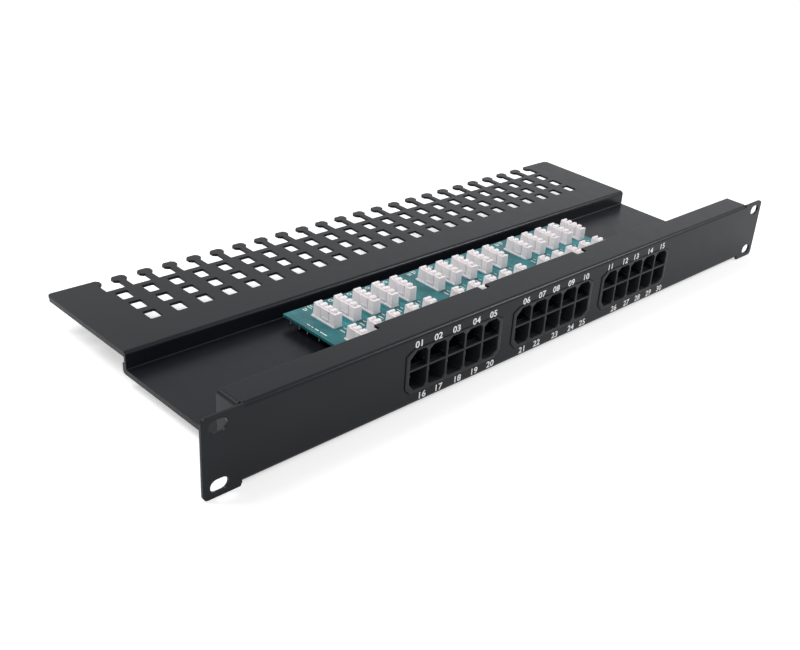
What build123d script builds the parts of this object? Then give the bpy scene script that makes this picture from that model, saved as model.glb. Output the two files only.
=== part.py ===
from build123d import *
import os

# Telephone patch panel, one rack unit high, with 30 ports and a cable shelf behind.
# X runs along the rack, +Y into the rack and +Z up, in millimetres.
# Y = 0 is the front face of the panel, and X = Z = 0 is the middle of that face.

os.makedirs("parts", exist_ok=True)

# Sheet metal chassis
sheet = 1.6                  # thickness of the steel
bend = 0.7                   # inner radius of every bend
panel_width = 482.6          # 19 inches over the ears
panel_height = 44.0          # one rack unit less its play
ear_width = 25.0             # from the panel's end to the side of the body behind it
ear_corner = 3.0
slot_inset = 8.75            # middle of a slot from the panel's end
slot_edge = 6.125            # and from its upper or lower edge
slot_length = 10.0
slot_width = 7.0

flange_overhang = 5.4        # the top flange is this much longer than the body at each end
flange_depth = 17.5
flange_mid_margin = 0.6      # its deeper middle stretch runs past the board by this much
flange_mid_extra = 4.5
flange_notches = ((-42.2, 6.5, 4.2), (45.8, 9.5, 5.5))   # middle, width, depth
tab_drop = 22.0              # height of the end tabs
relief = 0.3                 # gap between a tab and the face it stands behind

foot_rise = 1.8              # the lower edge between the ears lies this much above the ears' ends
foot_overhang = 4.2          # and is this much longer than the body at each end
foot_slant = 1.0             # the step up to it from each ear leans by this much
foot_depth = 6.0             # its overhanging ends are turned back this far
return_margin = 10.0         # the bottom return runs this far behind the housings
floor_margin = 7.5           # and the floor this far behind the board
riser_height = 10.3          # from the floor up to the shelf
shelf_corner = 3.0
hem_width = 6.0              # edges folded flat under
hem_lip = 3.0                # the floor's hems turn up behind the riser this far

hole_x = 7.6                 # cable tie holes in the shelf
hole_y = 9.8
hole_corner = 0.6
hole_pitch = 16.6
hole_rows = 3
hole_row_pitch = 14.3
first_row = 29.5             # middle of the first row, behind the riser's front face
plain_end = 27.0             # least width of the plain ends of the rear edge
comb_gap = 3.9               # from the last row's edge to the root of the open notches
tab_stem = 4.0               # tie tabs: width and length of the stem, then the head
tab_stem_length = 9.1
tab_head = 8.6
tab_head_depth = 6.5
tab_cut = 1.7
hook_reach = 3.0             # half heads on the two plain ends

# Jacks
groups = 3
group_pitch = 83.03
ports_across = 5
port_pitch = 13.97
port_width = 12.5
port_height = 11.2
port_depth = 15.5
mid_bar_z = 1.8              # bar between the two rows of ports
mid_bar = 1.2
shoulder_x = 3.7             # corners cut beside the latch slot of each port
shoulder_z = 3.0
jack_side = 2.61             # walls of the housing: beside, over and under the ports
jack_over = 0.7
jack_under = 2.4
jack_chamfer_top = (5.5, 3.0)
jack_chamfer_bottom = (4.0, 3.9)
jack_proud = 0.5             # how far the housings stand out of the face
jack_depth = 20.0            # rear face of the housings
jack_play = 0.25             # gap round each housing in its window

insert_play = 0.1            # clearance of the contact inserts in the housings
insert_heel = 11.0           # the inserts reach this far behind the housings, on the board
insert_back = 3.4            # thickness of the insert's rear plate
tongue = 3.8                 # thickness of the insert's tongue behind the middle bar
tongue_setback = 3.0
wire = 0.5                   # spring wire, square in section
wire_pitch = 1.27
wires_per_port = 4
wire_drop = 3.0
wire_run = 8.0

# Circuit board and what stands on it
board_top = -4.6
board_thick = 1.6
board_side = 39.37           # from the middle of an outer group to the board's end
board_gap = 0.6              # between the housings' rear face and the board's front edge
board_margin = 11.1          # from the rear row of blocks to the board's rear edge

block_rows = 2
block_row_pitch = 32.9
block_pitch = 14.42
block_gap = 4.3              # between the inserts and the front row
block_group_pitch = (81.0, 82.4)
block_row_shift = (-1.2, 3.2)
block_width = 5.4
block_height = 9.5           # ridges above the board
ledge_height = 8.7           # the flat step at the front
rear_lean = 1.0              # the rear face leans forward by this much
foot_width = 6.2
foot_height = 1.0
foot_tail = 1.0              # the foot reaches this far behind the block
wells = 4
well_pitch = 4.5
first_well = 2.7             # from the front face to the middle of the first well
last_ridge = 3.2             # from the middle of the last well to the rear face
well_mouth = 3.0
well_throat = 1.5            # depth of the flared mouth
well_depth = 4.6
well_slot = 1.2

blade = 0.5                  # contact blades: thickness, width, height and notch
blade_width = 3.4
blade_height = 2.9
blade_notch = 1.4

post_flats = 5.5             # nylon spacers between the floor and the board
post_height = 5.6
post_inset = 22.4            # outer spacers, from the board's ends
post_rows = (3.7, 10.0)      # behind the front row's face, and ahead of the board's rear edge

# Places worked out from the sizes above
top_z = panel_height / 2
ear_z = -top_z
main_z = ear_z + foot_rise
mid_bend = bend + sheet / 2
outer_bend = bend + sheet
slot_x = panel_width / 2 - slot_inset
slot_z = panel_height / 2 - slot_edge
body_half = panel_width / 2 - ear_width
foot_half = body_half + foot_overhang
flange_half = body_half + flange_overhang

group_x = [(g - (groups - 1) / 2) * group_pitch for g in range(groups)]
port_x = [(i - (ports_across - 1) / 2) * port_pitch for i in range(ports_across)]
port_top = mid_bar_z + mid_bar / 2 + port_height
port_bottom = mid_bar_z - mid_bar / 2 - port_height
opening_half = port_x[-1] + port_width / 2
jack_half = opening_half + jack_side
jack_top = port_top + jack_over
jack_bottom = port_bottom - jack_under
return_depth = jack_depth + return_margin

board_z = board_top - board_thick
board_half = group_x[-1] + board_side
board_front = jack_depth + board_gap
block_front = jack_depth + insert_heel + block_gap
block_length = first_well + (wells - 1) * well_pitch + last_ridge
row_front = [block_front + row * block_row_pitch for row in range(block_rows)]
board_end = row_front[-1] + block_length + foot_tail + board_margin
flange_mid_half = board_half + flange_mid_margin
flange_mid_depth = flange_depth + flange_mid_extra

floor_top = board_z - post_height
floor_z = floor_top - sheet
floor_end = board_end + floor_margin
shelf_top = floor_top + riser_height
shelf_low = shelf_top - sheet
hole_columns = int((2 * (body_half - plain_end) + tab_stem) / hole_pitch)
hole_cols_x = [(i - (hole_columns - 1) / 2) * hole_pitch for i in range(hole_columns)]
hole_rows_y = [floor_end + first_row + i * hole_row_pitch for i in range(hole_rows)]
comb_root = hole_rows_y[-1] + hole_y / 2 + comb_gap
shelf_end = comb_root + tab_stem_length + tab_head_depth
post_x = (-board_half + post_inset, 0, board_half - post_inset)
post_y = (block_front + post_rows[0], board_end - post_rows[1])
post_xy = [(x, y) for x in post_x for y in post_y]


def prism_x(points, x0, x1):
    """A solid from an outline of (y, z) points, drawn from x0 to x1."""
    face = make_face(Polyline([(0, y, z) for y, z in points], close=True))
    return Pos(x0, 0, 0) * extrude(face, amount=x1 - x0, dir=(1, 0, 0))


def prism_y(points, y0, y1):
    """A solid from an outline of (x, z) points, drawn from y0 to y1."""
    face = make_face(Polyline([(x, 0, z) for x, z in points], close=True))
    return Pos(0, y0, 0) * extrude(face, amount=y1 - y0, dir=(0, 1, 0))


def block(x0, x1, y0, y1, z0, z1):
    """A plain box between two corners."""
    corner = (Align.MIN, Align.MIN, Align.MIN)
    return Pos(x0, y0, z0) * Box(x1 - x0, y1 - y0, z1 - z0, align=corner)


def folded_strip(middle_line, x0, x1):
    """Sheet folded along a line of (y, z) points through its mid thickness."""
    line = FilletPolyline(*middle_line, radius=mid_bend)
    section = Plane.YZ * trace(line, line_width=sheet)
    return Pos(x0, 0, 0) * extrude(section, amount=x1 - x0, dir=(1, 0, 0))


def cut_corners(width, depth, cut):
    """A rectangle with its four corners cut off."""
    plain = Rectangle(width, depth)
    return chamfer(plain.vertices(), cut)


def window_outline(grow):
    """Outline of a jack housing seen from the front, grown by a clearance."""
    w, t, b = jack_half + grow, jack_top + grow, jack_bottom - grow
    tx, tz = jack_chamfer_top
    bx, bz = jack_chamfer_bottom
    return [
        (-w, b + bz), (-w, t - tz), (-w + tx, t), (w - tx, t),
        (w, t - tz), (w, b + bz), (w - bx, b), (-w + bx, b),
    ]


def make_chassis():
    half = sheet / 2
    # Face with its ears: the strips below bring the two long bends.
    outline = Plane.XZ * RectangleRounded(panel_width, panel_height, ear_corner)
    face = extrude(outline, amount=sheet, dir=(0, 1, 0))
    top_half = flange_half - outer_bend - relief
    above = top_z + 1
    face -= block(-top_half, top_half, -1, sheet + 1, top_z - outer_bend, above)
    ear_end = foot_half + foot_slant
    foot_cut = [(-ear_end, ear_z), (-foot_half, main_z), (foot_half, main_z), (ear_end, ear_z)]
    face -= prism_y(foot_cut, -1, sheet + 1)
    face -= block(-foot_half, foot_half, -1, sheet + 1, main_z - 1, main_z + outer_bend)

    overlap = 2 * outer_bend
    top_run = [(half, top_z - overlap), (half, top_z - half), (flange_depth, top_z - half)]
    top_flange = folded_strip(top_run, -top_half, top_half)
    mid_run = top_run[:2] + [(flange_mid_depth, top_z - half)]
    top_flange += folded_strip(mid_run, -flange_mid_half, flange_mid_half)
    for x, width, depth in flange_notches:
        top_flange -= block(
            x - width / 2, x + width / 2, flange_mid_depth - depth, flange_mid_depth + 1,
            top_z - 2 * sheet, above,
        )

    # The flange's ends turn down behind the ears.
    side = flange_half - half
    hoop = FilletPolyline(
        (-side, top_z - tab_drop), (-side, top_z - half),
        (side, top_z - half), (side, top_z - tab_drop), radius=mid_bend,
    )
    hoop = Plane.XZ * trace(hoop, line_width=sheet)
    tab_front = outer_bend + relief
    tabs = Pos(0, tab_front, 0) * extrude(hoop, amount=flange_depth - tab_front, dir=(0, 1, 0))

    # Return, step, floor, riser and shelf in one run.
    run = [
        (half, main_z + overlap), (half, main_z + half), (return_depth - half, main_z + half),
        (return_depth - half, floor_top - half), (floor_end + half, floor_top - half),
        (floor_end + half, shelf_top - half), (comb_root, shelf_top - half),
    ]
    lower = folded_strip(run, -body_half, body_half)
    lower += folded_strip(run[:2] + [(foot_depth, main_z + half)], -foot_half, foot_half)

    # Rear edge of the shelf: plain ends, and T-shaped tie tabs between the notches.
    pocket = hole_pitch - tab_stem
    outer_tab = hole_cols_x[-1] + pocket / 2
    comb = Sketch()
    for side_sign in (-1, 1):
        end = Pos((outer_tab + body_half) / 2, (comb_root + shelf_end) / 2) * Rectangle(
            body_half - outer_tab, shelf_end - comb_root
        )
        end = fillet(end.vertices().group_by(Axis.X)[-1].sort_by(Axis.Y)[-1], shelf_corner)
        end += Pos(outer_tab, shelf_end - tab_head_depth / 2) * cut_corners(
            2 * hook_reach, tab_head_depth, tab_cut
        )
        comb += end if side_sign > 0 else mirror(end, about=Plane.YZ)
    for x in hole_cols_x[:-1]:
        head_middle = (x + hole_pitch / 2, shelf_end - tab_head_depth / 2)
        comb += Pos(head_middle[0], comb_root) * Rectangle(
            tab_stem, head_middle[1] - comb_root, align=(Align.CENTER, Align.MIN)
        )
        comb += Pos(*head_middle) * cut_corners(tab_head, tab_head_depth, tab_cut)
    comb = Pos(0, 0, shelf_low) * extrude(comb, amount=sheet, dir=(0, 0, 1))

    chassis = face + top_flange + tabs + lower + comb

    # Side edges folded flat under the floor, round the foot of the riser and under the shelf.
    edge = body_half - hem_width
    riser_back = floor_end + sheet
    hem_run = [
        (return_depth + outer_bend, floor_z - half), (riser_back + half, floor_z - half),
        (riser_back + half, floor_top + hem_lip),
    ]
    for x0, x1 in ((-body_half, -edge), (edge, body_half)):
        chassis += folded_strip(hem_run, x0, x1)
        chassis += block(x0, x1, floor_end, riser_back, floor_z, floor_top)
        chassis += block(
            x0, x1, riser_back, shelf_end - shelf_corner, shelf_low - sheet, shelf_low
        )

    # Tie holes.
    hole = cut_corners(hole_x, hole_y, hole_corner)
    holes = Sketch() + [Pos(x, y) * hole for x in hole_cols_x for y in hole_rows_y]
    chassis -= Pos(0, 0, shelf_low - 1) * extrude(holes, amount=sheet + 2, dir=(0, 0, 1))

    # Mounting slots, jack windows and the holes for the board screws.
    slots = Sketch() + [
        Pos(x, z) * SlotOverall(slot_length, slot_width)
        for x in (-slot_x, slot_x) for z in (-slot_z, slot_z)
    ]
    chassis -= Pos(0, -1, 0) * extrude(Plane.XZ * slots, amount=sheet + 2, dir=(0, 1, 0))
    for x in group_x:
        chassis -= Pos(x, 0, 0) * prism_y(window_outline(jack_play), -1, sheet + 1)
    return chassis


def port_outline(row):
    """Outline of one port, with the two corners cut that the latch slot leaves."""
    w, inner = port_width / 2, mid_bar / 2
    if row > 0:
        near, far, step = mid_bar_z + inner, port_top, -shoulder_z
    else:
        near, far, step = mid_bar_z - inner, port_bottom, shoulder_z
    return [
        (-w, near), (-w, far + step), (-w + shoulder_x, far),
        (w - shoulder_x, far), (w, far + step), (w, near),
    ]


# Rear opening of a housing, behind all its ports
opening_low = port_bottom + shoulder_z
opening_high = port_top - shoulder_z
back_face = jack_depth - insert_back
tongue_front = tongue_setback - jack_proud


def make_housing():
    housing = prism_y(window_outline(0), -jack_proud, jack_depth)
    cavities = [
        Pos(x, 0, 0) * prism_y(port_outline(row), -jack_proud - 1, port_depth - jack_proud)
        for x in port_x for row in (1, -1)
    ]
    rear = block(
        -opening_half, opening_half, back_face - insert_play, jack_depth + 1,
        opening_low, opening_high,
    )
    reach = tongue / 2 + insert_play
    slot = block(
        -opening_half, opening_half, tongue_front - insert_play, jack_depth,
        mid_bar_z - reach, mid_bar_z + reach,
    )
    return housing - cavities - rear - slot


def make_insert():
    """Tongue, rear plate and heel on the board, in one moulding."""
    low, high = opening_low + insert_play, opening_high - insert_play
    heel_end = jack_depth + insert_heel
    half = tongue / 2
    outline = [
        (tongue_front, mid_bar_z - half), (tongue_front, mid_bar_z + half),
        (back_face, mid_bar_z + half), (back_face, high), (heel_end, high),
        (heel_end, board_top), (jack_depth, board_top), (jack_depth, low),
        (back_face, low), (back_face, mid_bar_z - half),
    ]
    across = opening_half - insert_play
    return prism_x(outline, -across, across)


def make_spring_wires():
    """The bare runs of the contacts, bent away from the tongue into the ports."""
    nose = tongue_front + wire
    lean = wire * 1.2
    wires = []
    for x in port_x:
        for w in range(wires_per_port):
            at = x + (w - (wires_per_port - 1) / 2) * wire_pitch
            for side in (1, -1):
                root = mid_bar_z + side * tongue / 2
                tip = root + side * wire_drop
                outline = [
                    (nose, root), (nose + lean, root),
                    (nose + wire_run + lean, tip), (nose + wire_run, tip),
                ]
                wires.append(prism_x(outline, at - wire / 2, at + wire / 2))
    return wires


def make_block():
    """One contact block, front face at y = 0 and foot on z = 0."""
    ridge = block_height
    outline = [(0, 0), (0, ledge_height)]
    for k in range(wells):
        middle = first_well + k * well_pitch
        half_mouth, half_slot = well_mouth / 2, well_slot / 2
        lip = ledge_height if k == 0 else ridge
        outline += [
            (middle - half_mouth, lip), (middle - half_slot, ridge - well_throat),
            (middle - half_slot, ridge - well_depth), (middle + half_slot, ridge - well_depth),
            (middle + half_slot, ridge - well_throat), (middle + half_mouth, ridge),
        ]
    outline += [(block_length - rear_lean, ridge), (block_length, 0)]
    body = prism_x(outline, -block_width / 2, block_width / 2)
    foot = block(
        -foot_width / 2, foot_width / 2, 0, block_length + foot_tail, 0, foot_height
    )
    return body + foot


def make_blades():
    """The four blades of one block, each with its notch for the wire."""
    floor = block_height - well_depth
    half = blade_width / 2
    outline = [
        (-half, floor), (-half, floor + blade_height), (0, floor + blade_height - blade_notch),
        (half, floor + blade_height), (half, floor),
    ]
    places = [first_well + k * well_pitch for k in range(wells)]
    return [prism_y(outline, y - blade / 2, y + blade / 2) for y in places]


chassis = make_chassis()
housing = make_housing()
insert = make_insert()
spring_wires = make_spring_wires()
contact_block = make_block()
blades = make_blades()

export_step(chassis, "parts/chassis.step")
for name, x in zip(("left", "middle", "right"), group_x):
    export_step(Pos(x, 0, 0) * housing, f"parts/jack_housing_{name}.step")
    export_step(Pos(x, 0, 0) * insert, f"parts/jack_insert_{name}.step")
    wires = Compound([Pos(x, 0, 0) * w for w in spring_wires])
    export_step(wires, f"parts/jack_wires_{name}.step")

# Blocks are numbered like the ports: 1 to 15 in the rear row and 16 to 30 in the front row.
blocks_across = groups * ports_across
for row, row_name in enumerate(("front", "rear")):
    first_number = 1 if row == block_rows - 1 else 1 + blocks_across
    for g, group_name in enumerate(("left", "middle", "right")):
        row_blades = []
        for i in range(ports_across):
            middle = (g - (groups - 1) / 2) * block_group_pitch[row] + block_row_shift[row]
            x = middle + (i - (ports_across - 1) / 2) * block_pitch
            place = Pos(x, row_front[row], board_top)
            number = first_number + g * ports_across + i
            export_step(place * contact_block, f"parts/idc_block_{number:02d}.step")
            row_blades += [place * b for b in blades]
        export_step(Compound(row_blades), f"parts/idc_blades_{row_name}_{group_name}.step")

board = block(-board_half, board_half, board_front, board_end, board_z, board_top)
export_step(board, "parts/circuit_board.step")

column = extrude(RegularPolygon(post_flats / 2, 6, major_radius=False), post_height)
posts = [Pos(x, y, floor_top) * column for x, y in post_xy]
export_step(Compound(posts), "parts/board_spacers.step")
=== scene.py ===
"""Looks of a telephone patch panel: materials, contact blocks, print, board detail, stage and camera."""
import math

import bmesh
import bpy
from mathutils import Euler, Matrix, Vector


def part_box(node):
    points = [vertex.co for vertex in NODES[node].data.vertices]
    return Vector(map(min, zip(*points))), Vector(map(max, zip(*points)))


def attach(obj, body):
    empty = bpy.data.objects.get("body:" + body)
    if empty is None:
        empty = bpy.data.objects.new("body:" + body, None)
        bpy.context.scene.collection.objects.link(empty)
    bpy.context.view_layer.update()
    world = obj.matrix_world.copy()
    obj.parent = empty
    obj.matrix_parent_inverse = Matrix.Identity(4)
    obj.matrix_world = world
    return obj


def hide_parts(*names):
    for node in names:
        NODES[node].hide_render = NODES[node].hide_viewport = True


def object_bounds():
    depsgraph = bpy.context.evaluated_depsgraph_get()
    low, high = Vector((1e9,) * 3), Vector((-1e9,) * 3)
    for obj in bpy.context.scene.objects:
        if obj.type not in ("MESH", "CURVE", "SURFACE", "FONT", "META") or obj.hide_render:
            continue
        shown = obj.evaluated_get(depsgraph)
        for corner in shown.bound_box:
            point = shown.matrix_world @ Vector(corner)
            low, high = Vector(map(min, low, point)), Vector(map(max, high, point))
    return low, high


bl_info = {
    "name": "Telephone Patch Panel",
    "version": (1, 0, 0),
    "blender": (4, 5, 0),
    "location": "View3D > Sidebar > Patch Panel",
    "description": "Finishes a rack-mounted telephone patch panel and sets up its studio",
    "category": "Object",
}

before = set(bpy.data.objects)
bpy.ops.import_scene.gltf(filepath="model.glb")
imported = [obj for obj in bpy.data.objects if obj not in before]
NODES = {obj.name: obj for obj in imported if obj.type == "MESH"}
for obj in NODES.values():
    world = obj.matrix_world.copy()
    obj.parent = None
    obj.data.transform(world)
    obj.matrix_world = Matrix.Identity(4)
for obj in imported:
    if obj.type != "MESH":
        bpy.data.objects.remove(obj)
CAD_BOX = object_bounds()
MM = 0.001
GROUPS = ("left", "middle", "right")
ACROSS = 5    # ports, or contact blocks, side by side in one group
PORTS = 15    # ports, or contact blocks, in one row of all groups
BLOCKS = 30
MADE = {}   # materials that several pieces share, by the function that makes them


def linear(hex_colour):
    """An sRGB hex colour as linear red, green, blue and alpha."""
    parts = [int(hex_colour[i:i + 2], 16) / 255 for i in (1, 3, 5)]
    return [c / 12.92 if c <= 0.04045 else ((c + 0.055) / 1.055) ** 2.4 for c in parts] + [1.0]


class PatchPanelColours(bpy.types.PropertyGroup):
    """Colours of the finishes."""

    coat: bpy.props.FloatVectorProperty(
        name="Powder coat", description="Colour of the coated steel chassis",
        subtype="COLOR", size=4, min=0, max=1, default=linear("#15171c"))
    jack: bpy.props.FloatVectorProperty(
        name="Jack housings", description="Colour of the moulded jack housings",
        subtype="COLOR", size=4, min=0, max=1, default=linear("#1c1e21"))
    block: bpy.props.FloatVectorProperty(
        name="Contact blocks", description="Colour of the moulded contact blocks",
        subtype="COLOR", size=4, min=0, max=1, default=linear("#e9e3e5"))
    board: bpy.props.FloatVectorProperty(
        name="Circuit board", description="Colour of the board's solder resist",
        subtype="COLOR", size=4, min=0, max=1, default=linear("#21686d"))
    ink: bpy.props.FloatVectorProperty(
        name="Print", description="Colour of the port numbers and the board's marks",
        subtype="COLOR", size=4, min=0, max=1, default=linear("#f4f4f4"))


class PatchPanelSizes(bpy.types.PropertyGroup):
    """Sizes of what is added to the solids."""

    digit_height: bpy.props.FloatProperty(
        name="Digit height", description="Height of the printed port numbers",
        unit="LENGTH", default=3.95 * MM, min=1 * MM, max=6 * MM)
    block_edge: bpy.props.FloatProperty(
        name="Block edge", description="Rounding of the contact blocks' edges",
        unit="LENGTH", default=0.2 * MM, min=0.02 * MM, max=0.5 * MM)
    ink_lift: bpy.props.FloatProperty(
        name="Ink thickness", description="How far print and traces stand off their surface",
        unit="LENGTH", default=0.03 * MM, min=0.005 * MM, max=0.2 * MM)
    key_power: bpy.props.FloatProperty(
        name="Key lamp", description="Power of the main lamp",
        unit="POWER", default=20.0, min=0, max=500)
    floor_size: bpy.props.FloatProperty(
        name="Floor", description="Length of the studio floor's side",
        unit="LENGTH", default=12.0, min=1, max=50)


def add_node(tree, kind, sockets=None, **settings):
    """Adds a node: settings are its properties, and sockets its values and links by input."""
    new = tree.nodes.new(kind)
    for key, value in settings.items():
        setattr(new, key, value)
    for key, value in (sockets or {}).items():
        if isinstance(value, bpy.types.NodeSocket):
            tree.links.new(value, new.inputs[key])
        else:
            new.inputs[key].default_value = value
    return new


def surface(name, **shader):
    """A material with one Principled shader, and the node tree to add its detail to."""
    material = bpy.data.materials.new(name)
    material.use_nodes = True
    tree = material.node_tree
    tree.nodes.clear()
    sockets = {key.replace("_", " ").title().replace("Ior", "IOR"): value
               for key, value in shader.items()}
    bsdf = add_node(tree, "ShaderNodeBsdfPrincipled", sockets)
    add_node(tree, "ShaderNodeOutputMaterial", {"Surface": bsdf.outputs[0]})
    place = add_node(tree, "ShaderNodeTexCoord").outputs["Object"]
    return material, tree, bsdf, place


def per_mm(size):
    """Texture scale that makes a pattern's features this many millimetres wide."""
    return 1 / (size * MM)


def grain(tree, bsdf, place, size, height, strength=0.5, edge=None):
    """Fine bumps, size and height in millimetres, on edges that look rounded by this radius."""
    noise = add_node(tree, "ShaderNodeTexNoise", {
        "Vector": place, "Scale": per_mm(size), "Detail": 2.0, "Roughness": 0.5})
    sockets = {"Height": noise.outputs[0], "Strength": strength, "Distance": height * MM}
    if edge:
        sockets["Normal"] = add_node(tree, "ShaderNodeBevel", {"Radius": edge * MM}, samples=6).outputs[0]
    bump = add_node(tree, "ShaderNodeBump", sockets)
    tree.links.new(bump.outputs[0], bsdf.inputs["Normal"])


def vary(tree, bsdf, place, socket, size, low, high):
    """Drives one input, a colour or a number, between two values in soft patches."""
    noise = add_node(tree, "ShaderNodeTexNoise", {
        "Vector": place, "Scale": per_mm(size), "Detail": 3.0, "Roughness": 0.6})
    # The noise stays near its middle, so this part of it is spread over the whole range.
    spread = {"Value": noise.outputs[0], "From Min": 0.35, "From Max": 0.65}
    if hasattr(low, "__len__"):
        share = add_node(tree, "ShaderNodeMapRange", spread)
        mix = add_node(tree, "ShaderNodeMixRGB", {
            "Fac": share.outputs[0], "Color1": low, "Color2": high})
    else:
        mix = add_node(tree, "ShaderNodeMapRange", {**spread, "To Min": low, "To Max": high})
    tree.links.new(mix.outputs[0], bsdf.inputs[socket])


def shade(colour, factor):
    """The same linear colour, lighter or darker."""
    return [min(1.0, c * factor) for c in colour[:3]] + [1.0]


def satin_powder_coat(colours):
    """Steel sheet in baked black powder: satin, with an orange-peel skin that softens lamps."""
    # An index below the paint's own keeps the white surroundings from greying the black.
    material, tree, bsdf, place = surface("satin_powder_coat", ior=1.25)
    vary(tree, bsdf, place, "Base Color", 26, shade(colours.coat, 0.95), shade(colours.coat, 1.05))
    # Powder flows out unevenly, which makes the gloss wander a little.
    vary(tree, bsdf, place, "Roughness", 9, 0.28, 0.33)
    # Real orange peel is about 0.8 mm wide: drawn at 1.3 mm so that it shows.
    grain(tree, bsdf, place, 1.3, 0.05, 0.35, edge=0.35)
    return material


def moulded_pbt_black(colours):
    """Glass-filled PBT, spark-eroded mould: dark, even and slightly matt."""
    # Its index is lowered as the powder coat's is, and so are the insert's and the resist's.
    material, tree, bsdf, place = surface("moulded_pbt_black", ior=1.3)
    vary(tree, bsdf, place, "Base Color", 14, shade(colours.jack, 0.9), shade(colours.jack, 1.1))
    vary(tree, bsdf, place, "Roughness", 4, 0.36, 0.48)
    # Spark erosion leaves pits of about 0.1 mm: drawn at 0.5 mm so that they show.
    grain(tree, bsdf, place, 0.5, 0.02, 0.4, edge=0.2)
    return material


def moulded_nylon_grey():
    """Nylon insert behind the ports: matt dark grey, darkened further to paint the shade inside the deep
    ports.
    """
    material, tree, bsdf, place = surface("moulded_nylon_grey", ior=1.2)
    # Near black: the insert's own dark grey plus painted shade of the recessed ports.
    vary(tree, bsdf, place, "Base Color", 8, linear("#0e0e10"), linear("#151517"))
    vary(tree, bsdf, place, "Roughness", 3, 0.45, 0.6)
    grain(tree, bsdf, place, 0.6, 0.02, 0.4)
    return material


def gold_plated_wire():
    """Gold over nickel on drawn spring wire: warm, with a faint grain, its colour darkened to paint the
    shade inside the dark ports.
    """
    material, tree, bsdf, place = surface("gold_plated_wire", metallic=1.0)
    # Gold darkened far below its own brightness: painted shade of the ports' insides.
    vary(tree, bsdf, place, "Base Color", 2, linear("#5a4c34"), linear("#6c5b3e"))
    vary(tree, bsdf, place, "Roughness", 1, 0.18, 0.3)
    grain(tree, bsdf, place, 0.3, 0.01, 0.3)
    return material


def tin_plated_bronze():
    """Tin-plated contact blades: pale grey metal, dulled in patches."""
    material, tree, bsdf, place = surface("tin_plated_bronze", metallic=1.0)
    vary(tree, bsdf, place, "Base Color", 2, linear("#a9a59b"), linear("#c9c6be"))
    vary(tree, bsdf, place, "Roughness", 1, 0.3, 0.45)
    grain(tree, bsdf, place, 0.3, 0.01, 0.3)
    return material


def moulded_pbt_white(colours):
    """Off-white PBT contact blocks: satin, with a little light carried under the skin."""
    material, tree, bsdf, place = surface(
        "moulded_pbt_white", ior=1.55, subsurface_weight=0.08, subsurface_radius=(1.0, 1.0, 1.0),
        subsurface_scale=0.6 * MM)
    vary(tree, bsdf, place, "Base Color", 7, shade(colours.block, 0.95), shade(colours.block, 1.03))
    vary(tree, bsdf, place, "Roughness", 3, 0.36, 0.5)
    # A polished mould's flow marks, about 0.8 mm wide.
    grain(tree, bsdf, place, 0.8, 0.02, 0.3)
    return material


def solder_resist(colours, name="solder_resist_green", lift=1.0):
    """Satin green resist over glass cloth: the weave shows faintly, and copper lies lighter."""
    material, tree, bsdf, place = surface(name, ior=1.35, coat_weight=0.05, coat_roughness=0.15)
    vary(tree, bsdf, place, "Base Color", 12, shade(colours.board, 0.72 * lift),
         shade(colours.board, 1.28 * lift))
    vary(tree, bsdf, place, "Roughness", 5, 0.32, 0.44)
    # Glass cloth has about 18 threads a centimetre: drawn at one wave in 7 mm so that it shows.
    waves = [add_node(tree, "ShaderNodeTexWave", {
        "Vector": place, "Scale": per_mm(1.1) / 20, "Distortion": 0.6}, bands_direction=way)
        for way in ("X", "Y")]
    weave = add_node(tree, "ShaderNodeMath", {0: waves[0].outputs[1], 1: waves[1].outputs[1]},
                     operation="MULTIPLY")
    bump = add_node(tree, "ShaderNodeBump", {
        "Height": weave.outputs[0], "Strength": 0.25, "Distance": 0.02 * MM})
    tree.links.new(bump.outputs[0], bsdf.inputs["Normal"])
    return material


def screen_print_ink(colours):
    """Screen-printed white ink: flat and chalky, with a slightly uneven film."""
    material, tree, bsdf, place = surface("screen_print_ink", ior=1.45)
    vary(tree, bsdf, place, "Base Color", 1.5, shade(colours.ink, 0.9), shade(colours.ink, 1.0))
    vary(tree, bsdf, place, "Roughness", 1, 0.5, 0.65)
    grain(tree, bsdf, place, 0.4, 0.01, 0.3)
    return material


def solder_tin():
    """Wave-soldered tin: bright fillets with a fine frosty grain."""
    material, tree, bsdf, place = surface("solder_tin", metallic=1.0)
    vary(tree, bsdf, place, "Base Color", 1.5, linear("#b4b6b8"), linear("#d2d4d6"))
    vary(tree, bsdf, place, "Roughness", 1, 0.22, 0.38)
    grain(tree, bsdf, place, 0.3, 0.02, 0.5)
    return material


def zinc_plated_steel():
    """Zinc-plated screws: cool bright grey with soft patches."""
    material, tree, bsdf, place = surface("zinc_plated_steel", metallic=1.0)
    vary(tree, bsdf, place, "Base Color", 2, linear("#b3b7bb"), linear("#cdd0d2"))
    vary(tree, bsdf, place, "Roughness", 1.5, 0.26, 0.4)
    grain(tree, bsdf, place, 0.4, 0.01, 0.3)
    return material


def moulded_nylon_natural():
    """Natural nylon spacers: milky, warm white and slightly waxy."""
    material, tree, bsdf, place = surface(
        "moulded_nylon_natural", ior=1.53, subsurface_weight=0.2, subsurface_scale=1.5 * MM)
    vary(tree, bsdf, place, "Base Color", 4, linear("#d3d0c3"), linear("#e2dfd4"))
    vary(tree, bsdf, place, "Roughness", 2, 0.4, 0.52)
    grain(tree, bsdf, place, 0.6, 0.02, 0.3)
    return material


def seen_by_eye(tree):
    """1 for rays that reach the eye, also by way of a gloss or through glass."""
    path = add_node(tree, "ShaderNodeLightPath")
    direct = add_node(tree, "ShaderNodeMath", {
        0: path.outputs["Is Camera Ray"], 1: path.outputs["Is Glossy Ray"]}, operation="MAXIMUM")
    return add_node(tree, "ShaderNodeMath", {
        0: direct.outputs[0], 1: path.outputs["Is Transmission Ray"]},
        operation="MAXIMUM").outputs[0]


def shared(maker, *args):
    """A material made once and then shared by the pieces that need it."""
    if maker not in MADE:
        MADE[maker] = maker(*args)
    return MADE[maker]


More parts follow.
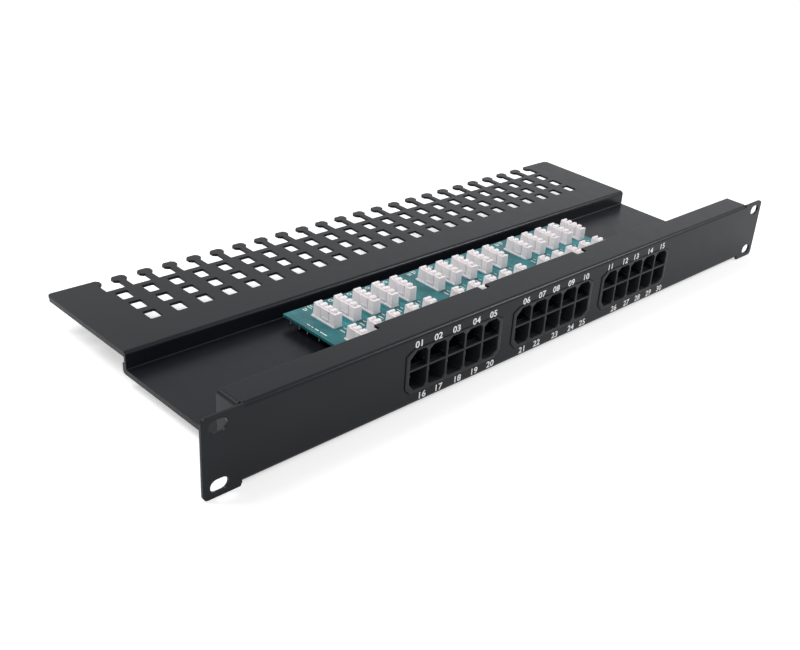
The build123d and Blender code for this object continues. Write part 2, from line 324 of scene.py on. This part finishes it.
def dress(name, material):
    """Gives a CAD node its material."""
    slots = NODES[name].material_slots
    if not slots:
        raise RuntimeError(f"{name} has no material slot")
    for one in slots:
        one.material = material


def between(bm, near, far):
    """Adds the closed body between two outlines with the same number of points."""
    near = [bm.verts.new(point) for point in near]
    far = [bm.verts.new(point) for point in far]
    bm.faces.new(near)
    bm.faces.new(far[::-1])
    for i in range(len(near)):
        j = (i + 1) % len(near)
        bm.faces.new((near[j], near[i], far[i], far[j]))


def prism(bm, outline, x0, x1):
    """Adds a closed prism: an outline of (y, z) points, drawn from x0 to x1."""
    between(bm, [(x0, y, z) for y, z in outline], [(x1, y, z) for y, z in outline])


def along_y(bm, outline, y0, y1, shift=0):
    """Adds a closed prism: an outline of (x, z) points, moved along x, drawn from y0 to y1."""
    between(bm, [(x + shift, y0, z) for x, z in outline], [(x + shift, y1, z) for x, z in outline])


def box(bm, x0, x1, y0, y1, z0, z1):
    """Adds a closed box between two corners."""
    prism(bm, [(y0, z0), (y0, z1), (y1, z1), (y1, z0)], x0, x1)


def lathe(bm, outline, place, sides=16):
    """Adds a turned body: an outline of (radius, z) points round an upright axis at place."""
    rings = []
    for radius, z in outline:
        count = sides if radius > 0 else 1
        rings.append([bm.verts.new((
            place[0] + radius * math.cos(2 * math.pi * i / sides),
            place[1] + radius * math.sin(2 * math.pi * i / sides), place[2] + z))
            for i in range(count)])
    for lower, upper in zip(rings, rings[1:]):
        for i in range(sides):
            j = (i + 1) % sides
            corners = [lower[i % len(lower)], lower[j % len(lower)],
                       upper[j % len(upper)], upper[i % len(upper)]]
            bm.faces.new(list(dict.fromkeys(corners)))


def finish_mesh(bm, name, scale=MM):
    """Turns a bmesh drawn in millimetres into mesh data in metres."""
    bmesh.ops.recalc_face_normals(bm, faces=bm.faces)
    bmesh.ops.scale(bm, vec=(scale, scale, scale), verts=bm.verts)
    data = bpy.data.meshes.new(name)
    bm.to_mesh(data)
    bm.free()
    return data


def carve(name, body, cutter=None):
    """Joins the overlapping closed bodies of one bmesh, takes another away, and gives mesh data."""
    piece = bpy.data.objects.new(name, finish_mesh(body, name))
    tool = bpy.data.objects.new(name + "_cutter", finish_mesh(cutter or bmesh.new(), name + "_cutter"))
    for one in (piece, tool):
        bpy.context.scene.collection.objects.link(one)
    cut = piece.modifiers.new("cut", "BOOLEAN")
    cut.object = tool
    cut.operation = "DIFFERENCE"
    cut.use_self = True
    bpy.context.view_layer.update()
    found = piece.evaluated_get(bpy.context.evaluated_depsgraph_get())
    data = bpy.data.meshes.new_from_object(found)
    data.name = name
    for one in (piece, tool):
        bpy.data.objects.remove(one)
    return data


def place_piece(name, data, material, location=(0, 0, 0)):
    """Links a piece, gives it its material, and lets it ride with the part."""
    piece = bpy.data.objects.new(name, data)
    piece.location = location
    bpy.context.scene.collection.objects.link(piece)
    if not data.materials:
        data.materials.append(material)
    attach(piece, "root")
    return piece


def round_edges(piece, width, segments=2):
    """Rounds a piece's sharp edges and smooths its faces."""
    bevel = piece.modifiers.new("edges", "BEVEL")
    bevel.width = width
    bevel.segments = segments
    bevel.limit_method = "ANGLE"
    bevel.angle_limit = math.radians(35)
    for face in piece.data.polygons:
        face.use_smooth = True


# One contact block, in millimetres: front face at y = 0, foot on z = 0, as in the solids.
RIDGE, LEDGE, LENGTH, LEAN = 9.5, 8.7, 19.4, 1.0
WELLS = [2.7 + 4.5 * k for k in range(4)]
MOUTH, SLOT, THROAT, DEPTH = 1.5, 0.6, 1.5, 4.6
HALF_WIDTH, FOOT_HALF, FOOT_HEIGHT, FOOT_START, FOOT_TAIL = 2.7, 3.1, 1.0, 0.15, 1.0
SLOT_HALF = 1.7
GROOVES = ((5.0, 0.4), (12.5, 0.16))   # middle and half width
GROOVE_DEPTH, GROOVE_LOW = 0.5, 1.3
FIELD_Y, FIELD_Z, FIELD_PROUD = (6.0, 11.2), (1.9, 3.4), 0.16
OVERLAP = 0.3                          # of bodies that are joined


def block_top(slotted):
    """Line of (y, z) points along the block's ridges, with or without a slot in each well."""
    line = [(0, LEDGE)]
    steps = 6
    low = RIDGE - (DEPTH if slotted else THROAT)
    for k, middle in enumerate(WELLS):
        lip = LEDGE if k == 0 else RIDGE
        rise = lip - RIDGE + THROAT
        for i in range(steps + 1):
            turn = math.pi / 2 * i / steps
            line.append((middle - MOUTH + (MOUTH - SLOT) * math.sin(turn),
                         RIDGE - THROAT + rise * math.cos(turn)))
        if slotted:
            line += [(middle - SLOT, low), (middle + SLOT, low)]
        for i in range(steps, -1, -1):
            turn = math.pi / 2 * i / steps
            line.append((middle + MOUTH - (MOUTH - SLOT) * math.sin(turn),
                         RIDGE - THROAT + THROAT * math.cos(turn)))
    return line + [(LENGTH - LEAN, RIDGE)]


def contact_block():
    """Mesh of a contact block: slotted core, open right wall, straight left wall, foot."""
    body = bmesh.new()
    rear = WELLS[-1]
    # The left wall has no wells: it steps up to the ridge by the rear one.
    straight = [(0, LEDGE), (rear - 0.2, LEDGE), (rear + MOUTH - 0.3, RIDGE), (LENGTH - LEAN, RIDGE)]
    for x0, x1, top in (
        (-HALF_WIDTH, -SLOT_HALF, straight),
        (-SLOT_HALF, SLOT_HALF, block_top(True)),
        (SLOT_HALF, HALF_WIDTH, block_top(False)),
    ):
        prism(body, [(0, 0)] + top + [(LENGTH, 0)], x0, x1)
    box(body, -FOOT_HALF, FOOT_HALF, FOOT_START, LENGTH + FOOT_TAIL, 0, FOOT_HEIGHT)
    # Low label field between the grooves.
    for side in (-1, 1):
        x0, x1 = sorted((side * (HALF_WIDTH - OVERLAP), side * (HALF_WIDTH + FIELD_PROUD)))
        box(body, x0, x1, *FIELD_Y, *FIELD_Z)
    cutter = bmesh.new()
    for side in (-1, 1):
        x0, x1 = sorted((side * (HALF_WIDTH - GROOVE_DEPTH), side * (FOOT_HALF + 0.9)))
        for middle, half in GROOVES:
            box(cutter, x0, x1, middle - half, middle + half, GROOVE_LOW, RIDGE + 1)
    return carve("contact_block", body, cutter)


# One jack housing, in millimetres, round its own middle: outlines are (x, z) points.
PORT_PITCH, PORT_HALF = 13.97, 6.25
HOUSING_FRONT, HOUSING_REAR, PORT_END, HOUSING_EDGE = -0.5, 20.0, 15.0, 0.12
HOUSING_OUTLINE = (
    (-36.8, -8.5), (-36.8, 11.3), (-31.3, 14.3), (31.3, 14.3),
    (36.8, 11.3), (36.8, -8.5), (32.8, -12.4), (-32.8, -12.4),
)
# Behind the ports: the opening for the insert's rear plate, and the slot for its tongue.
PLATE_FRONT, PLATE_LOW, PLATE_HIGH = 16.5, -7.0, 10.6
TONGUE_FRONT, TONGUE_LOW, TONGUE_HIGH = 2.4, -0.2, 3.8
# Height of each row's edge by the middle bar and of its far edge, then the cuts (along x, along z) at the
# far corners: left and right on the inner ports, left and right on the outer ones.
PORT_ROWS = (
    (2.4, 13.1, ((3.0, 2.2), (1.6, 2.0)), ((4.6, 4.2), (2.6, 3.0))),
    (1.2, -10.7, ((1.2, 1.8), (1.6, 2.4)), ((3.8, 4.4), (4.7, 3.0))),
)
PORT_X = [(i - (ACROSS - 1) / 2) * PORT_PITCH for i in range(ACROSS)]
OPENING_HALF = PORT_X[-1] + PORT_HALF
# Latch lugs on each upper port's left and right wall: (y from, y to, z from, z to).
LEFT_LUG, RIGHT_LUG = (-0.1, 2.2, -2.1, -0.8), (2.0, 6.0, 4.6, 5.4)
LUG_ROOT, LUG_REACH = 0.1, 0.8


def port_outline(i, near, far, inner, outer):
    """Outline of one port: its far corners are cut, deeper at the housing's own corners."""
    left = outer[0] if i == 0 else inner[0]
    right = outer[1] if i == ACROSS - 1 else inner[1]
    up = math.copysign(1, far)
    return [
        (-PORT_HALF, near), (-PORT_HALF, far - up * left[1]), (left[0] - PORT_HALF, far),
        (PORT_HALF - right[0], far), (PORT_HALF, far - up * right[1]), (PORT_HALF, near),
    ]


def jack_housing():
    """Mesh of a jack housing: ten ports with cut corners, and latch lugs."""
    body = bmesh.new()
    along_y(body, HOUSING_OUTLINE, HOUSING_FRONT, HOUSING_REAR)
    cutter = bmesh.new()
    for i, x in enumerate(PORT_X):
        for row in PORT_ROWS:
            along_y(cutter, port_outline(i, *row), HOUSING_FRONT - 1, PORT_END, x)
    box(cutter, -OPENING_HALF, OPENING_HALF, PLATE_FRONT, HOUSING_REAR + 1, PLATE_LOW, PLATE_HIGH)
    box(cutter, -OPENING_HALF, OPENING_HALF, TONGUE_FRONT, HOUSING_REAR, TONGUE_LOW, TONGUE_HIGH)
    data = carve("jack_housing", body, cutter)
    # The lugs stand in the ports, so they come after the ports are cut.
    lugs = bmesh.new()
    lugs.from_mesh(data)
    bmesh.ops.scale(lugs, vec=(1 / MM, 1 / MM, 1 / MM), verts=lugs.verts)
    for x in PORT_X:
        box(lugs, x - PORT_HALF - LUG_ROOT, x - PORT_HALF + LUG_REACH, *LEFT_LUG)
        box(lugs, x + PORT_HALF - LUG_REACH, x + PORT_HALF + LUG_ROOT, *RIGHT_LUG)
    return carve("jack_housing_with_lugs", lugs)


class PATCHPANEL_OT_chassis(bpy.types.Operator):
    """Coats the folded steel chassis"""

    bl_idname = "patchpanel.chassis"
    bl_label = "Chassis finish"

    def execute(self, context):
        colours = context.scene.patchpanel_colours
        dress("chassis", shared(satin_powder_coat, colours))
        return {"FINISHED"}


class PATCHPANEL_OT_jacks(bpy.types.Operator):
    """Finishes the jack housings, their inserts and the spring wires"""

    bl_idname = "patchpanel.jacks"
    bl_label = "Jacks"

    def execute(self, context):
        colours = context.scene.patchpanel_colours
        data = jack_housing()
        for group in GROUPS:
            low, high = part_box(f"jack_housing_{group}")
            piece = place_piece(
                f"housing_{group}", data, shared(moulded_pbt_black, colours),
                ((low.x + high.x) / 2, 0, 0))
            round_edges(piece, HOUSING_EDGE * MM)
            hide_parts(f"jack_housing_{group}")
            dress(f"jack_insert_{group}", shared(moulded_nylon_grey))
            dress(f"jack_wires_{group}", shared(gold_plated_wire))
        return {"FINISHED"}


class PATCHPANEL_OT_blocks(bpy.types.Operator):
    """Builds the contact blocks with flared wells, side grooves and a label field"""

    bl_idname = "patchpanel.blocks"
    bl_label = "Contact blocks"

    def execute(self, context):
        colours = context.scene.patchpanel_colours
        sizes = context.scene.patchpanel_sizes
        data = contact_block()
        for number in range(1, BLOCKS + 1):
            node = f"idc_block_{number:02d}"
            low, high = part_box(node)
            place = ((low.x + high.x) / 2, low.y, low.z)
            piece = place_piece(
                f"contact_block_{number:02d}", data, shared(moulded_pbt_white, colours),
                place)
            round_edges(piece, sizes.block_edge)
            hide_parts(node)
        for row in ("front", "rear"):
            for group in GROUPS:
                dress(f"idc_blades_{row}_{group}", shared(tin_plated_bronze))
        return {"FINISHED"}


# On the board, in millimetres. Copper traces: the first one's place beside its block, and their start
# ahead of it.
TRACE_HALF, TRACE_PITCH, FIRST_TRACE, TRACE_START = 0.28, 1.25, 3.6, 10.5
# Print behind each rear block: strokes (x, y from, y to) and a bar, or else a ring drawn in dots.
STROKES = ((-2.0, 27.8, 29.9), (-0.2, 27.2, 30.2), (2.4, 26.8, 31.1), (4.2, 28.4, 31.1))
STROKE_WIDTH, BAR = 0.55, (-2.0, 0.3, 27.2, 27.8)
RING_PLACE, RING_RADIUS, RING_HALF, RING_DOTS = (3.8, 29), 1.2, 0.26, 16
# Print ahead of each rear block, and dashes along the board's left end.
FRONT_MARKS = ((-0.9, -0.4, -6.8, -2.6), (2.4, 2.9, -4.3, -1.8))
DASH_X = (-119.4, -118.8)
DASHES_Y = ((64.6, 70.3), (71.7, 75.0), (76.6, 78.1), (79.2, 81.8))
# Turned outlines (radius, z) of a solder joint and of a long pin, down from the board's underside.
JOINT = ((0, 0), (0.95, 0), (0.7, -0.35), (0.42, -0.9), (0.3, -1.5), (0, -1.5))
LONG_PIN = ((0, 0), (0.95, 0), (0.6, -0.5), (0.36, -1.2), (0.32, -3.9), (0.5, -4.3), (0.5, -4.7), (0, -5.0))
LONG_PIN_X = -119.0
LONG_PINS_Y = (71.0, 81.5, 88.9, 96.8)
JOINT_SIDES = 12
PIN_HALF, PIN_START, PIN_END = 0.22, 1.2, 2.3


class PATCHPANEL_OT_board(bpy.types.Operator):
    """Finishes the circuit board, with traces, printed marks, solder joints and pins"""

    bl_idname = "patchpanel.board"
    bl_label = "Circuit board"

    def execute(self, context):
        colours = context.scene.patchpanel_colours
        lift = context.scene.patchpanel_sizes.ink_lift / MM
        dress("circuit_board", shared(solder_resist, colours))
        dress("board_spacers", shared(moulded_nylon_natural))
        board_low, board_high = [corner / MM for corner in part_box("circuit_board")]
        top, under = board_high.z, board_low.z
        blocks = [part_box(f"idc_block_{n:02d}") for n in range(1, BLOCKS + 1)]
        blocks = [((low.x + high.x) / 2 / MM, low.y / MM) for low, high in blocks]

        # Copper traces under the resist: from each well to a bundle that runs to the jacks.
        bm = bmesh.new()
        for x, y in blocks:
            for k, well in enumerate(WELLS):
                at = x + FIRST_TRACE + TRACE_PITCH * k
                box(bm, x, at, y + well - TRACE_HALF, y + well + TRACE_HALF, top, top + lift)
                box(bm, at - TRACE_HALF, at + TRACE_HALF, y - TRACE_START, y + well, top, top + lift)
        place_piece("copper_traces", finish_mesh(bm, "copper_traces"),
                    solder_resist(colours, "solder_resist_over_copper", 2.1))

        # White marks of the board's print: strokes and rings behind and before the rear blocks.
        bm = bmesh.new()
        ink = top + 1.5 * lift   # print lies over the traces

        def stroke(x0, x1, y0, y1):
            box(bm, x0, x1, y0, y1, top, ink)

        for n, (x, y) in enumerate(blocks[:PORTS]):
            marks = list(FRONT_MARKS)
            if n % ACROSS == 0:
                for shift, start, end in STROKES:
                    stroke(x + shift, x + shift + STROKE_WIDTH, y + start, y + end)
                marks.insert(0, BAR)
            else:
                for i in range(RING_DOTS):
                    turn = 2 * math.pi * i / RING_DOTS
                    at_x = x + RING_PLACE[0] + RING_RADIUS * math.cos(turn)
                    at_y = y + RING_PLACE[1] + RING_RADIUS * math.sin(turn)
                    stroke(at_x - RING_HALF, at_x + RING_HALF, at_y - RING_HALF, at_y + RING_HALF)
            for x0, x1, y0, y1 in marks:
                stroke(x + x0, x + x1, y + y0, y + y1)
        for start, end in DASHES_Y:
            stroke(*DASH_X, start, end)
        place_piece("board_print", finish_mesh(bm, "board_print"),
                    shared(screen_print_ink, colours))

        # Pins of the contact blades, each in its cone of solder under the board.
        bm = bmesh.new()
        pins = bmesh.new()
        for x, y in blocks:
            for well in WELLS:
                lathe(bm, JOINT, (x, y + well, under), JOINT_SIDES)
                box(pins, x - PIN_HALF, x + PIN_HALF, y + well - PIN_HALF, y + well + PIN_HALF,
                    under - PIN_END, under - PIN_START)
        # Longer pins under the board's left end.
        for y in LONG_PINS_Y:
            lathe(bm, LONG_PIN, (LONG_PIN_X, y, under), JOINT_SIDES)
        joints = place_piece("solder_joints", finish_mesh(bm, "solder_joints"),
                             shared(solder_tin))
        for face in joints.data.polygons:
            face.use_smooth = True
        place_piece("contact_pins", finish_mesh(pins, "contact_pins"),
                    shared(tin_plated_bronze))
        return {"FINISHED"}


# Spacer screws, in millimetres: the head's turned outline (radius, z), and half the length and width of
# the cross's arms.
SCREW_HEAD = ((0, 0), (2.7, 0), (2.75, -0.4), (2.5, -1.1), (1.7, -1.6), (0, -1.75))
CROSS_LONG, CROSS_WIDE = 1.4, 0.28
SPACER_HALF, SPACER_CORNER = 2.75, 3.175   # half a spacer's width over its flats, and over its corners
SHEET = 1.6                                # steel between the spacers and the screws' heads


class PATCHPANEL_OT_screws(bpy.types.Operator):
    """Puts the pan-head screws of the board's spacers under the floor"""

    bl_idname = "patchpanel.screws"
    bl_label = "Spacer screws"

    def execute(self, context):
        low, high = [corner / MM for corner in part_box("board_spacers")]
        floor = low.z - SHEET
        bm = bmesh.new()
        cutter = bmesh.new()
        for x in (low.x + SPACER_CORNER, (low.x + high.x) / 2, high.x - SPACER_CORNER):
            for y in (low.y + SPACER_HALF, high.y - SPACER_HALF):
                lathe(bm, SCREW_HEAD, (x, y, floor), 32)
                # The second arm is a hair deeper, so that no two faces lie in one plane.
                box(cutter, x - CROSS_LONG, x + CROSS_LONG, y - CROSS_WIDE, y + CROSS_WIDE,
                    floor - 2.5, floor - 0.9)
                box(cutter, x - CROSS_WIDE, x + CROSS_WIDE, y - CROSS_LONG, y + CROSS_LONG,
                    floor - 2.51, floor - 0.89)
        data = carve("spacer_screws", bm, cutter)
        place_piece("spacer_screws", data, shared(zinc_plated_steel))
        return {"FINISHED"}


# Middle of each printed number along the panel, in millimetres, for ports 1 to 30.
NUMBER_X = (
    -110.8, -97.1, -83.3, -67.9, -54.3, -26.2, -12.4, 0.5, 14.8, 29.0,
    54.0, 69.5, 81.5, 97.3, 111.2, -106.6, -94.2, -79.6, -66.2, -52.8,
    -25.0, -11.9, 5.1, 20.7, 32.2, 65.3, 79.0, 91.5, 104.2, 116.7,
)
NUMBER_Z = (16.3, -16.2)


class PATCHPANEL_OT_numbers(bpy.types.Operator):
    """Prints the port numbers on the front face"""

    bl_idname = "patchpanel.numbers"
    bl_label = "Port numbers"

    def execute(self, context):
        colours = context.scene.patchpanel_colours
        sizes = context.scene.patchpanel_sizes
        cap_share = 0.73   # height of a digit as a share of the type's size
        for number, x in enumerate(NUMBER_X, start=1):
            text = bpy.data.curves.new(f"number_{number:02d}", "FONT")
            text.body = f"{number:02d}"
            text.align_x = "CENTER"
            text.align_y = "CENTER"
            text.size = sizes.digit_height / cap_share
            text.offset = 0.02 * text.size   # makes the strokes bolder
            text.space_character = 1.04
            text.extrude = sizes.ink_lift / 2
            text.materials.append(shared(screen_print_ink, colours))
            piece = bpy.data.objects.new(f"port_number_{number:02d}", text)
            z = NUMBER_Z[0] if number <= PORTS else NUMBER_Z[1]
            piece.location = (x * MM, -sizes.ink_lift / 2, z * MM)
            piece.rotation_euler = (math.pi / 2, 0, 0)
            piece.scale = (1.12, 1, 1)   # the print's digits are wider than the type's
            context.scene.collection.objects.link(piece)
            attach(piece, "root")
        return {"FINISHED"}


class PATCHPANEL_OT_stage(bpy.types.Operator):
    """Sets the pale floor, the studio lamps and the camera"""

    bl_idname = "patchpanel.stage"
    bl_label = "Stage"

    def execute(self, context):
        scene = context.scene
        sizes = scene.patchpanel_sizes
        floor_material, tree, bsdf, place = surface("matt_studio_floor", roughness=0.9)
        vary(tree, bsdf, place, "Base Color", 900, linear("#dcdcdc"), linear("#e2e2e2"))
        # Seen straight on, the floor is lifted to white and keeps the shadow.
        glow = add_node(tree, "ShaderNodeMath", {0: seen_by_eye(tree), 1: 0.5}, operation="MULTIPLY")
        tree.links.new(glow.outputs[0], bsdf.inputs["Emission Strength"])
        bsdf.inputs["Emission Color"].default_value = linear("#ffffff")
        bm = bmesh.new()
        half = sizes.floor_size / 2
        bottom = CAD_BOX[0][2]
        corners = ((-half, -half), (half, -half), (half, half), (-half, half))
        bm.faces.new([bm.verts.new((x, y, bottom)) for x, y in corners])
        floor = bpy.data.objects.new("studio_floor", finish_mesh(bm, "studio_floor", 1.0))
        floor.data.materials.append(floor_material)
        scene.collection.objects.link(floor)

        # Each lamp's place and aim in metres, its side, and its share of the key's power.
        for name, place, aim, side, share in (
            ("key_lamp", (-0.7, 0.85, 1.5), (0, 0.1, 0), 0.8, 1.0),
            ("right_lamp", (1.45, -0.98, 1.16), (0, 0, 0), 0.45, 1.0),
            ("front_lamp", (-0.9, -1.3, 1.1), (0, 0, 0), 1.2, 0.12),
        ):
            lamp = bpy.data.lights.new(name, "AREA")
            lamp.size = side
            lamp.energy = sizes.key_power * share
            holder = bpy.data.objects.new(name, lamp)
            holder.location = place
            away = [p - a for p, a in zip(place, aim)]
            flat = math.hypot(away[0], away[1])
            holder.rotation_euler = (math.atan2(flat, away[2]), 0,
                                     math.atan2(away[0], -away[1]))
            scene.collection.objects.link(holder)

        # The eye sees a white world, while a softer one lights the part.
        world = bpy.data.worlds.new("pale_studio")
        world.use_nodes = True
        tree = world.node_tree
        tree.nodes.clear()
        soft = add_node(tree, "ShaderNodeBackground", {"Color": linear("#ffffff"), "Strength": 0.42})
        white = add_node(tree, "ShaderNodeBackground", {"Color": linear("#ffffff"), "Strength": 1.0})
        mix = add_node(tree, "ShaderNodeMixShader", {
            0: seen_by_eye(tree), 1: soft.outputs[0], 2: white.outputs[0]})
        add_node(tree, "ShaderNodeOutputWorld", {"Surface": mix.outputs[0]})
        scene.world = world

        # Place, turn, lens and shifts were found together, from points of the photo.
        camera = bpy.data.cameras.new("camera")
        camera.lens = 47.067
        camera.sensor_width = 36.0
        camera.shift_x = -0.1405
        camera.shift_y = 0.0011
        camera.clip_start = 0.02
        eye = bpy.data.objects.new("camera", camera)
        eye.location = (-0.45159, -0.33396, 0.28002)
        eye.rotation_euler = Euler([math.radians(a) for a in (62.379, -6.164, -47.958)], "XYZ")
        scene.collection.objects.link(eye)
        scene.camera = eye
        scene.view_settings.view_transform = "Standard"
        return {"FINISHED"}


OPERATORS = (
    PATCHPANEL_OT_chassis, PATCHPANEL_OT_jacks, PATCHPANEL_OT_blocks, PATCHPANEL_OT_board,
    PATCHPANEL_OT_screws, PATCHPANEL_OT_numbers, PATCHPANEL_OT_stage,
)


class PATCHPANEL_PT_sidebar(bpy.types.Panel):
    """Sizes, colours and steps of the patch panel"""

    bl_idname = "PATCHPANEL_PT_sidebar"
    bl_label = "Patch Panel"
    bl_space_type = "VIEW_3D"
    bl_region_type = "UI"
    bl_category = "Patch Panel"

    def draw(self, context):
        for group in (context.scene.patchpanel_sizes, context.scene.patchpanel_colours):
            for name in group.__annotations__:
                self.layout.prop(group, name)
        for operator in OPERATORS:
            self.layout.operator(operator.bl_idname)


CLASSES = (PatchPanelColours, PatchPanelSizes) + OPERATORS + (PATCHPANEL_PT_sidebar,)


def register():
    for one in CLASSES:
        bpy.utils.register_class(one)
    bpy.types.Scene.patchpanel_colours = bpy.props.PointerProperty(type=PatchPanelColours)
    bpy.types.Scene.patchpanel_sizes = bpy.props.PointerProperty(type=PatchPanelSizes)


def unregister():
    del bpy.types.Scene.patchpanel_sizes
    del bpy.types.Scene.patchpanel_colours
    for one in reversed(CLASSES):
        bpy.utils.unregister_class(one)


def main():
    register()
    for operator in OPERATORS:
        group, name = operator.bl_idname.split(".")
        getattr(getattr(bpy.ops, group), name)()


if __name__ == "__main__":
    main()
